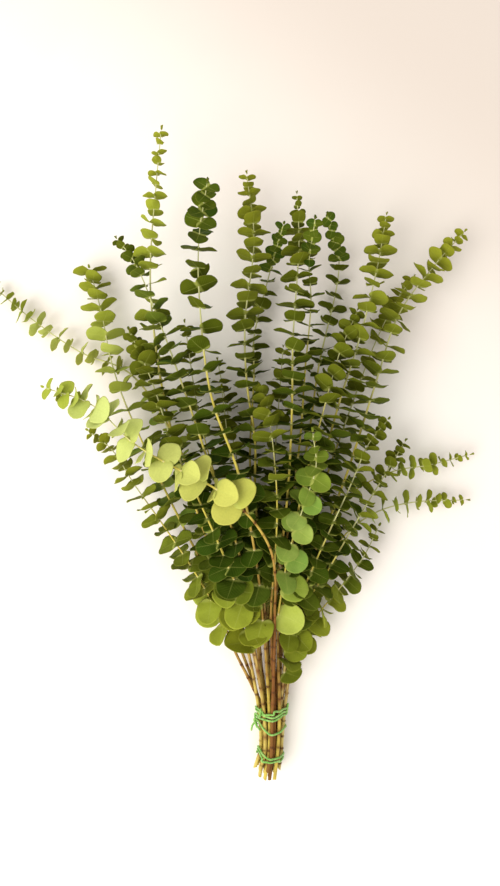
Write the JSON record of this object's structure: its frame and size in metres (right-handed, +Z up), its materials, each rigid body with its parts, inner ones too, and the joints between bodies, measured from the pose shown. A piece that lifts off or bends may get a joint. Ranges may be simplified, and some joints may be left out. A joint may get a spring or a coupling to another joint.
{
  "type": "eucalyptus branch bunch",
  "caption": "Tied bunch of round-leaved eucalyptus branches lying flat, its stems gathered by two windings of thin green twine near the cut ends.",
  "frame": {"origin": "on the surface the bunch lies on, under the centre of its bounding box", "axes": "+Y from the cut ends to the leafy tips, +Z up from the surface, +X to the right seen from above with the tips away from the viewer"},
  "size_m": [0.5287, 0.6857, 0.1433],
  "materials": {
    "leaf_green": "matt waxy leaf, dark to olive green with paler backs, on a pale green woody stem",
    "leaf_light": "matt waxy leaf, light yellow-green",
    "stem": "satin bark, cream to yellow-tan with dark brown joints",
    "twine": "matt twisted twine, mint green"
  },
  "bodies": {
    "root": {"branch_01": "leaf_green", "branch_02": "leaf_green", "branch_03": "leaf_green", "branch_04": "leaf_green", "branch_05": "leaf_green", "branch_06": "leaf_green", "branch_07": "leaf_green", "branch_08": "leaf_green", "branch_09": "leaf_green", "branch_10": "leaf_green", "branch_11": "leaf_green", "branch_12": "leaf_green", "branch_13": "leaf_green", "branch_14": "leaf_green", "branch_15": "leaf_green", "branch_16": "leaf_green", "branch_17": "leaf_green", "branch_18": "leaf_green", "branch_19": "leaf_green", "branch_20": "leaf_green", "branch_21": "leaf_green", "branch_22": "leaf_green", "branch_23": "leaf_green", "branch_24": "leaf_green", "branch_25": "leaf_green", "branch_26": "leaf_green", "branch_27": "leaf_light", "branch_28": "leaf_light", "twine_upper": "twine", "twine_lower": "twine"}
  },
  "joints": []
}
